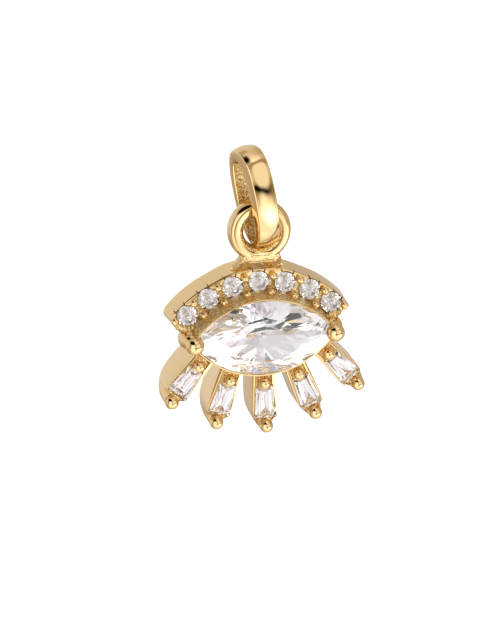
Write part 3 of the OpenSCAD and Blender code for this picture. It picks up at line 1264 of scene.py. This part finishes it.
@dataclass
class Loop:
    """The ring that the pendant hangs by, with a narrow bright band on its front."""

    y: float = 6.41
    fore: float = 0.45
    flank: float = 0.17
    sides: int = 160

    def draft(self) -> Draft:
        """Builds the ring from its section.

        Returns:
            The draft.
        """
        # Radius and height over the ring's middle: outer wall, front band, then the grained flank
        front = [
            (1.87, 0.0), (1.866, 0.12), (1.848, 0.24), (1.81, 0.35), (1.75, 0.44), (1.675, 0.505),
            (1.64, 0.525), (1.61, 0.545), (1.58, 0.55), (1.25, 0.55), (1.225, 0.54), (1.19, 0.46),
            (1.155, 0.32), (1.135, 0.16),
        ]
        grained = range(9, 18)
        section = front + [(1.13, 0.0)] + [(x, -z) for x, z in reversed(front[1:])]
        rings = []
        for i in range(self.sides):
            a = 2 * math.pi * i / self.sides
            wider = self.flank * smooth(0.85, 1.5, min(a, 2 * math.pi - a))
            ring = []
            for r, z in section:
                low = r - wider * smooth(1.25, 1.13, r)
                ring.append(Vector((low * math.sin(a), self.y + low * math.cos(a), self.fore + z)))
            rings.append(ring)

        def finish(i: int, j: int) -> Surface:
            """Grained on the inner side of the ring, polished elsewhere."""
            return Surface.GRAINED if j in grained else Surface.POLISHED

        return Draft().loft(rings, closed=True, surface=finish)


@dataclass
class Neck:
    """The grained saddle between the brow and the loop, with bare polished flanks."""

    lump: float = 0.05
    lump_size: float = 0.17
    melted: float = 4.2
    bare: float = 1.42
    sides: int = 96
    steps: int = 5
    sharp: float = 60.0
    square: tuple[float, float] = (0.45, 0.6)
    flank_z: float = -0.45

    def draft(self) -> Draft:
        """Builds the saddle as a stack of level rings with the lumps of its cast skin.

        Returns:
            The draft.
        """
        # Height, half width, back and front
        rows = [
            (3.78, 1.54, -0.95, -0.12), (3.88, 1.52, -0.9, 0.06), (3.98, 1.49, -0.82, 0.22),
            (4.12, 1.45, -0.72, 0.4), (4.3, 1.39, -0.58, 0.6), (4.5, 1.32, -0.42, 0.8),
            (4.72, 1.23, -0.28, 0.95), (4.95, 1.14, -0.18, 1.03), (5.16, 0.94, 0.0, 1.03),
        ]
        rings = []
        for low, high in zip(rows, rows[1:]):
            for t in (k / self.steps for k in range(self.steps)):
                rings.append(self.level(*(a + (b - a) * t for a, b in zip(low, high))))
        rings.append(self.level(*rows[-1]))

        def finish(i: int, j: int) -> Surface:
            """Polished on the bare flanks, grained below and melted above."""
            if abs(rings[i][j].x) > self.bare:
                return Surface.POLISHED
            return Surface.GRAINED if rings[i][j].y < self.melted else Surface.MELTED

        return Draft().loft(rings, surface=finish)

    def level(self, y: float, half: float, back: float, front: float) -> Ring:
        """Builds one ring of the saddle.

        Args:
            y: Height on the bench.
            half: Half of its width.
            back: Its back.
            front: Its front.

        Returns:
            The points.
        """
        ring = []
        mid, deep = (front + back) / 2, (front - back) / 2
        for i in range(self.sides):
            a = 2 * math.pi * i / self.sides
            c, s = math.cos(a), math.sin(a)
            x = math.copysign(abs(c) ** self.square[0], c) * half
            z = mid + math.copysign(abs(s) ** self.square[1], s) * deep
            z -= 0.97 * max(z - self.flank_z, 0) * smooth(1.2, 1.5, abs(x))
            p = Vector((x, y, z))
            calm = 1 - smooth(self.bare - 0.2, self.bare, abs(x))
            push = calm * self.lump * noise.fractal(p / self.lump_size, 0.8, 2.0, 3)
            ring.append(p + Vector((c, 0, s)) * push)
        return ring


@dataclass
class Bail:
    """The oval ring of band metal, thick in front, that the chain runs through."""

    height: float = 6.07
    depth: float = 3.4
    width: float = 1.32
    top: float = 0.8
    low: float = 0.36
    front: float = 1.0
    rear: float = 0.58
    dome: float = 1.6
    edge: float = 0.1
    lean: float = 8.9
    twist: float = 13.0
    round_top: float = 2.6
    round_low: float = 2.2
    sections: int = 220

    def oval(self, half_d: float, half_h: float, a: float) -> Vector:
        """Finds a point of an oval in the bail's plane, fuller above than below.

        Args:
            half_d: Half of the oval's depth.
            half_h: Half of its height.
            a: Angle of the point, from the back over the top.

        Returns:
            The point.
        """
        power = 2 / (self.round_top if math.sin(a) > 0 else self.round_low)
        c, s = math.cos(a), math.sin(a)
        y = math.copysign(abs(c) ** power, c) * half_d
        z = math.copysign(abs(s) ** power, s) * half_h
        return Vector((0, y, z))

    def dip(self, x: float) -> float:
        """How far the domed face lies under its crest at a distance from its middle."""
        return self.dome - math.sqrt(self.dome**2 - x * x)

    def section(self, thick: float) -> list[tuple[float, float]]:
        """Builds the section of the band.

        Args:
            thick: Thickness of the band there.

        Returns:
            Widths and heights over its inner face.
        """
        half, e = self.width / 2, self.edge
        crest = thick - self.dip(half - e)
        right = [(half - e + e * math.sin(a), e - e * math.cos(a)) for a in (0, 0.52, 1.05, math.pi / 2)]
        turns = (0, 0.4, 0.8, 1.2, 1.45)
        right += [(half - e + e * math.cos(a), crest - e + e * math.sin(a)) for a in turns]
        right += [((half - e) * k, thick - self.dip((half - e) * k)) for k in (0.85, 0.65, 0.45, 0.2)]
        left = [(-x, y) for x, y in reversed(right)]
        return right + [(0.0, thick)] + left

    def draft(self) -> Draft:
        """Builds the bail, hanging from the origin by the top of its opening.

        Returns:
            The draft.
        """
        half_d = (self.depth - self.front - self.rear) / 2
        half_h = (self.height - self.top - self.low) / 2
        back, up = (self.front - self.rear) / 2, (self.low - self.top) / 2
        pose = Matrix.Rotation(math.radians(-self.lean), 3, "Y")
        pose = pose @ Matrix.Rotation(math.radians(self.twist), 3, "Z")
        rings = []
        for i in range(self.sections):
            a = 2 * math.pi * (i + 0.5) / self.sections
            outer = self.oval(self.depth / 2, self.height / 2, a)
            inner = self.oval(half_d, half_h, a) + Vector((0, back, up))
            way = outer - inner
            thick = way.length
            way.normalize()
            start = inner - Vector((0, back, half_h + up))
            rings.append([pose @ (start + Vector((x, 0, 0)) + way * h) for x, h in self.section(thick)])
        last = len(rings[0]) - 1

        def finish(i: int, j: int) -> Surface:
            """Grained on the inner face, polished elsewhere."""
            return Surface.GRAINED if j == last else Surface.POLISHED

        return Draft().loft(rings, closed=True, surface=finish)


@dataclass(frozen=True)
class Patch:
    """A bright or dark field of the light tent, seen in the metal and through the stones.

    Angles are in degrees. Azimuth counts from straight in front, to the viewer's right.
    """

    azimuth: float
    elevation: float
    half_wide: float
    half_high: float
    fade: float
    tone: str
    strength: float = 1.0
    square: float = 2.0

    def axes(self) -> tuple[Vector, Vector, Vector]:
        """Works out directions.

        Returns:
            The directions to the patch, to its side and up along it.
        """
        a, e = math.radians(self.azimuth), math.radians(self.elevation)
        ahead = Vector((math.sin(a) * math.cos(e), -math.cos(a) * math.cos(e), math.sin(e)))
        side = Vector((math.cos(a), math.sin(a), 0))
        return ahead, side, side.cross(ahead)

    def mask(self, tree: bpy.types.NodeTree, where: bpy.types.NodeSocket) -> bpy.types.NodeSocket:
        """Builds the share of the patch in each direction.

        Args:
            tree: The world's node tree.
            where: Socket of the direction.

        Returns:
            The socket of the share, from 0 to 1.
        """
        ahead, side, up = self.axes()

        def along(axis: Vector) -> bpy.types.NodeSocket:
            """Reach of the direction along an axis."""
            inputs = {0: where, 1: axis}
            return add_node(tree, "ShaderNodeVectorMath", inputs, operation="DOT_PRODUCT").outputs["Value"]

        reach = []
        for axis, half in ((side, self.half_wide), (up, self.half_high)):
            size = add_math(tree, "ABSOLUTE", along(axis))
            size = add_math(tree, "DIVIDE", size, math.sin(math.radians(half)))
            reach.append(add_math(tree, "POWER", size, self.square))
        whole = add_math(tree, "POWER", add_math(tree, "ADD", *reach), 1 / self.square)
        inputs = {"Value": whole, "From Min": 1 + self.fade, "From Max": 1 - self.fade}
        near = add_node(tree, "ShaderNodeMapRange", inputs, interpolation_type="SMOOTHSTEP")
        front = add_math(tree, "GREATER_THAN", along(ahead), 0.0)
        return add_math(tree, "MULTIPLY", near.outputs["Result"], front)


@dataclass
class Studio:
    """White sweep, light tent, lamps and camera."""

    distance: float = 200.0
    pixels_per_mm: float = 17.137
    picture: tuple[int, int] = (500, 625)
    azimuth: float = -12.0
    elevation: float = 19.0
    roll: float = -1.64
    aim_pixel: tuple[float, float] = (258.67, 281.30)
    sensor: float = 36.0
    floor_gap: float = 30.0
    floor_reach: float = 2000.0
    floor_light: float = 1.12
    stone_light: str = "F4F2FA"
    stone_share: float = 0.45

    # Name, place in front of the pendant, width, and power in watts
    lamps: tuple[tuple[str, tuple[float, float, float], float, float], ...] = (
        ("key", (-150, -170, 220), 160, 0.55),
        ("fill", (200, -150, 60), 200, 0.2),
    )

    # Tones of the tent from straight below to straight above
    tones: tuple[tuple[float, str], ...] = (
        (0.0, "E2DED8"), (0.3, "F4F2EE"), (0.5, "ECEAE8"), (0.75, "E8E6E4"), (1.0, "FAF8F6"),
    )

    # Later patches lie over earlier ones
    patches: tuple[Patch, ...] = (
        Patch(125, 10, 34, 60, 0.4, "C2B6A8"),
        Patch(-140, 50, 24, 22, 0.4, "C6B8A6"),
        Patch(-150, -42, 50, 24, 0.5, "B4A48C"),
        Patch(12, -6, 72, 70, 0.12, "FFFFFF", 1.5),
        Patch(-76, 16, 6, 44, 0.5, "33230F"),
        Patch(86, -8, 5, 48, 0.6, "4A3418"),
        Patch(-62, 56, 36, 22, 0.25, "0C0603"),
        Patch(34, 8, 42, 42, 0.1, "B0A084", 1.0, 4.0),
        Patch(24, -7.5, 38, 4, 0.5, "0C0704", 1.0, 3.0),
        Patch(33, 18, 31, 22.5, 0.14, "FFFFFF", 1.1, 3.0),
        Patch(41, -34, 33, 23, 0.12, "FFFFFF", 1.3, 3.0),
        Patch(45, -28, 24, 10, 0.6, "FFFFFF", 3.0),
    )

    def camera(self, aim: Vector) -> None:
        """Sets the camera up at the picture's angle.

        Args:
            aim: The middle round stone on the brow's face, whose pixel is known, in metres.
        """
        az, el, roll = (math.radians(v) for v in (self.azimuth, self.elevation, self.roll))
        back = Vector((math.sin(az) * math.cos(el), -math.cos(az) * math.cos(el), math.sin(el)))
        level = Vector((math.cos(az), math.sin(az), 0))
        rise = back.cross(level)
        right = level * math.cos(roll) + rise * math.sin(roll)
        up = rise * math.cos(roll) - level * math.sin(roll)
        wide, high = self.picture
        dx = (wide / 2 - self.aim_pixel[0]) / self.pixels_per_mm
        dy = (self.aim_pixel[1] - high / 2) / self.pixels_per_mm
        centre = aim + (right * dx + up * dy) * MM
        data = bpy.data.cameras.new("camera")
        data.sensor_fit = "VERTICAL"
        data.sensor_height = self.sensor
        data.lens = self.sensor * self.distance / (high / self.pixels_per_mm)
        data.clip_start = 0.01
        camera = bpy.data.objects.new("camera", data)
        turn = Matrix((right, up, back)).transposed().to_4x4()
        camera.matrix_world = Matrix.Translation(centre + back * self.distance * MM) @ turn
        bpy.context.scene.collection.objects.link(camera)
        bpy.context.scene.camera = camera

    def tent(self) -> None:
        """Lights the world as a light tent: pale all round, with darker gaps that the metal mirrors."""
        world = bpy.data.worlds.new("light_tent")
        bpy.context.scene.world = world
        world.use_nodes = True
        tree = world.node_tree
        where = add_node(tree, "ShaderNodeTexCoord").outputs["Generated"]
        height = add_node(tree, "ShaderNodeSeparateXYZ", {"Vector": where}).outputs["Z"]
        share = add_node(tree, "ShaderNodeMapRange", {"Value": height, "From Min": -1.0}).outputs["Result"]
        seen = add_ramp(tree, share, self.tones)
        for patch in self.patches:
            tone = tuple(c * patch.strength for c in colour(patch.tone)[:3]) + (1.0,)
            seen = add_mix(tree, patch.mask(tree, where), seen, tone)

        # The matt floor is lit by the whole room, more evenly than the mirrors show
        path = add_node(tree, "ShaderNodeLightPath").outputs
        seen = add_mix(tree, path["Is Diffuse Ray"], seen, (self.floor_light,) * 3 + (1.0,))

        # The stones gather light from a wider field than a mirror, so they see a paler room
        share = add_math(tree, "MULTIPLY", path["Is Transmission Ray"], self.stone_share)
        seen = add_mix(tree, share, seen, colour(self.stone_light))
        feed(tree, tree.nodes["Background"], {"Color": seen})

    def lamp(
        self, name: str, place: tuple[float, float, float], aim: Vector, size: float, power: float
    ) -> None:
        """Adds a soft lamp.

        Args:
            name: Its name.
            place: Its place relative to the aim, in millimetres.
            aim: Where it points, in metres.
            size: Its width and height in millimetres.
            power: Its power in watts.
        """
        data = bpy.data.lights.new(name, "AREA")
        data.size = size * MM
        data.energy = power
        lamp = bpy.data.objects.new(name, data)
        lamp.location = aim + Vector(place) * MM
        lamp.rotation_euler = (-Vector(place)).to_track_quat("-Z", "Y").to_euler()
        lamp.visible_glossy = False
        bpy.context.scene.collection.objects.link(lamp)

    def sweep(self, under: float) -> bpy.types.Object:
        """Lays the white floor.

        Args:
            under: Height of the pendant's lowest point, in metres.

        Returns:
            The floor.
        """
        mesh = bpy.data.meshes.new("white_floor")
        reach, z = self.floor_reach * MM, under - self.floor_gap * MM
        corners = [(-reach, -reach, z), (reach, -reach, z), (reach, reach, z), (-reach, reach, z)]
        mesh.from_pydata(corners, [], [(0, 1, 2, 3)])
        mesh.materials.append(SweepFinish().make())
        floor = bpy.data.objects.new("white_floor", mesh)
        bpy.context.scene.collection.objects.link(floor)
        floor.visible_glossy = False
        floor.visible_transmission = False
        return floor

    def build(self, aim: Vector, under: float) -> None:
        """Sets up the whole studio.

        Args:
            aim: The middle round stone on the brow's face, in metres.
            under: Height of the pendant's lowest point, in metres.
        """
        view = bpy.context.scene.view_settings
        view.view_transform = "Standard"
        view.look = "None"
        self.camera(aim)
        self.tent()
        for name, place, size, power in self.lamps:
            self.lamp(name, place, aim, size, power)
        self.sweep(under)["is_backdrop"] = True


def dress(piece: bpy.types.Object, body: Body, gold: bpy.types.Material) -> None:
    """Gives a metal piece its finish and its body.

    Args:
        piece: The piece.
        body: The body that it moves with.
        gold: The metal.
    """
    piece.data.materials.clear()
    piece.data.materials.append(gold)
    for face in piece.data.polygons:
        face.material_index = 0
    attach(piece, body.value)
    LOG.info("%s: %d faces", piece.name, len(piece.data.polygons))


def dress_stone(piece: bpy.types.Object, node: str, clear: bpy.types.Material) -> None:
    """Gives a stone its finish, and lets it take its node's place.

    Args:
        piece: The cut stone.
        node: The plain solid that it stands for.
        clear: The stone's material.
    """
    piece.data.materials.append(clear)
    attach(piece, Body.PENDANT.value)
    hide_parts(node)
    LOG.info("%s: %d facets", piece.name, len(piece.data.polygons))


@dataclass
class Stones:
    """All cut stones: the eye, the seven rounds of the brow and the five baguettes.

    Heights are those of a stone's table, of the top and foot of its girdle, and of its culet.
    """

    eye_cut: Cut = Cut(12, 0.58, 0.8, 0.52, 0.62, 0.47, 0.3, 0.78)
    eye_heights: tuple[float, float, float, float] = (1.8, 1.25, 1.15, -0.3)
    round_cut: Cut = Cut(8, 0.54, 0.78, 0.55, 0.55, 0.5, 0.22, 0.86)
    round_heights: tuple[float, float, float, float] = (0.25, 0.07, 0.03, -0.45)
    round_radius: float = 0.63
    round_turn: float = 0.03
    facet_edge: float = 1.0

    def build(self, bench: Bench, brow: Brow, lashes: Lashes) -> None:
        """Builds every stone.

        Args:
            bench: Where the pendant stands.
            brow: The brow with the rounds' places.
            lashes: The fan with the baguettes' places.
        """
        clear = ZirconiaFinish().make()
        sparkling = ZirconiaFinish(name="small_zirconia", body="D0CAC4", turns=4).make()
        eye = CutStone(Lens().at, self.eye_cut, *self.eye_heights)
        dress_stone(eye.draft().build("eye_brilliant", bench.place, self.facet_edge), "eye_stone", clear)
        for i, place in enumerate(brow.spots()):

            def girdle(t: float, turn: float = self.round_turn * i) -> Vector:
                """Point of the round girdle at a share of the way round."""
                angle = math.tau * (t + turn)
                return Vector((math.cos(angle), math.sin(angle), 0)) * self.round_radius

            gem = CutStone(girdle, self.round_cut, *self.round_heights)
            piece = gem.draft(place).build(f"round_brilliant_{i + 1}", bench.place, self.facet_edge)
            dress_stone(piece, f"brow_stone_{i + 1}", sparkling)
        for i in range(lashes.count):
            angle = math.radians((i - (lashes.count - 1) / 2) * lashes.step)
            turn = Matrix.Translation((0, lashes.pivot, 0)) @ Matrix.Rotation(angle, 4, "Z")

            def place_in_lash(point: Vector, turn: Matrix = turn) -> Vector:
                """Puts a point of the stone in its lash, in metres."""
                return bench.place(turn @ point)

            piece = Baguette().draft().build(f"baguette_{i + 1}", place_in_lash, self.facet_edge)
            dress_stone(piece, f"lash_stone_{i + 1}", clear)


def main() -> None:
    """Builds the pendant and its studio."""
    logging.basicConfig(level=logging.INFO, format="%(message)s")
    cad_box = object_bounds()
    bench = Bench.under("eye_stone")
    brow = Brow()
    Studio().build(bench.place(Vector((0, brow.middle + brow.row_radius, 0))), cad_box[0][2])

    gold = GoldFinish().make()
    mark = bpy.data.materials.new("cut_mark")
    setting = brow.build(bench, mark)
    dress(setting, Body.PENDANT, gold)
    dress(Basket(Lens()).draft().build("basket", bench.place), Body.PENDANT, gold)
    dress(Claws().draft().build("claws", bench.place), Body.PENDANT, gold)
    lashes = Lashes()
    dress(lashes.build(bench, gold), Body.PENDANT, gold)
    rows = [
        BeadRow("beads_outside", 6, 1.0, 0.36),
        BeadRow("beads_inside", 6, 1.0, -0.64),
        BeadRow("beads_at_the_ends", 2, 6.84, 0.4),
    ]
    tool = CopyTool.new("bead_row", gold, turned=False)
    for row in rows:
        dress(row.build(brow, bench, tool), Body.PENDANT, gold)
    dress(Loop().draft().build("loop_ring", bench.place), Body.PENDANT, gold)
    neck = Neck()
    dress(neck.draft().build("neck", bench.place, neck.sharp), Body.PENDANT, gold)
    bail = Bail().draft().build("bail_band", lambda p: p * MM)
    dress(bail, Body.BAIL, gold)
    Stones().build(bench, brow, lashes)
    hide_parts("setting")
    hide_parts("bail")

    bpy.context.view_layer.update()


if __name__ == "__main__":
    main()
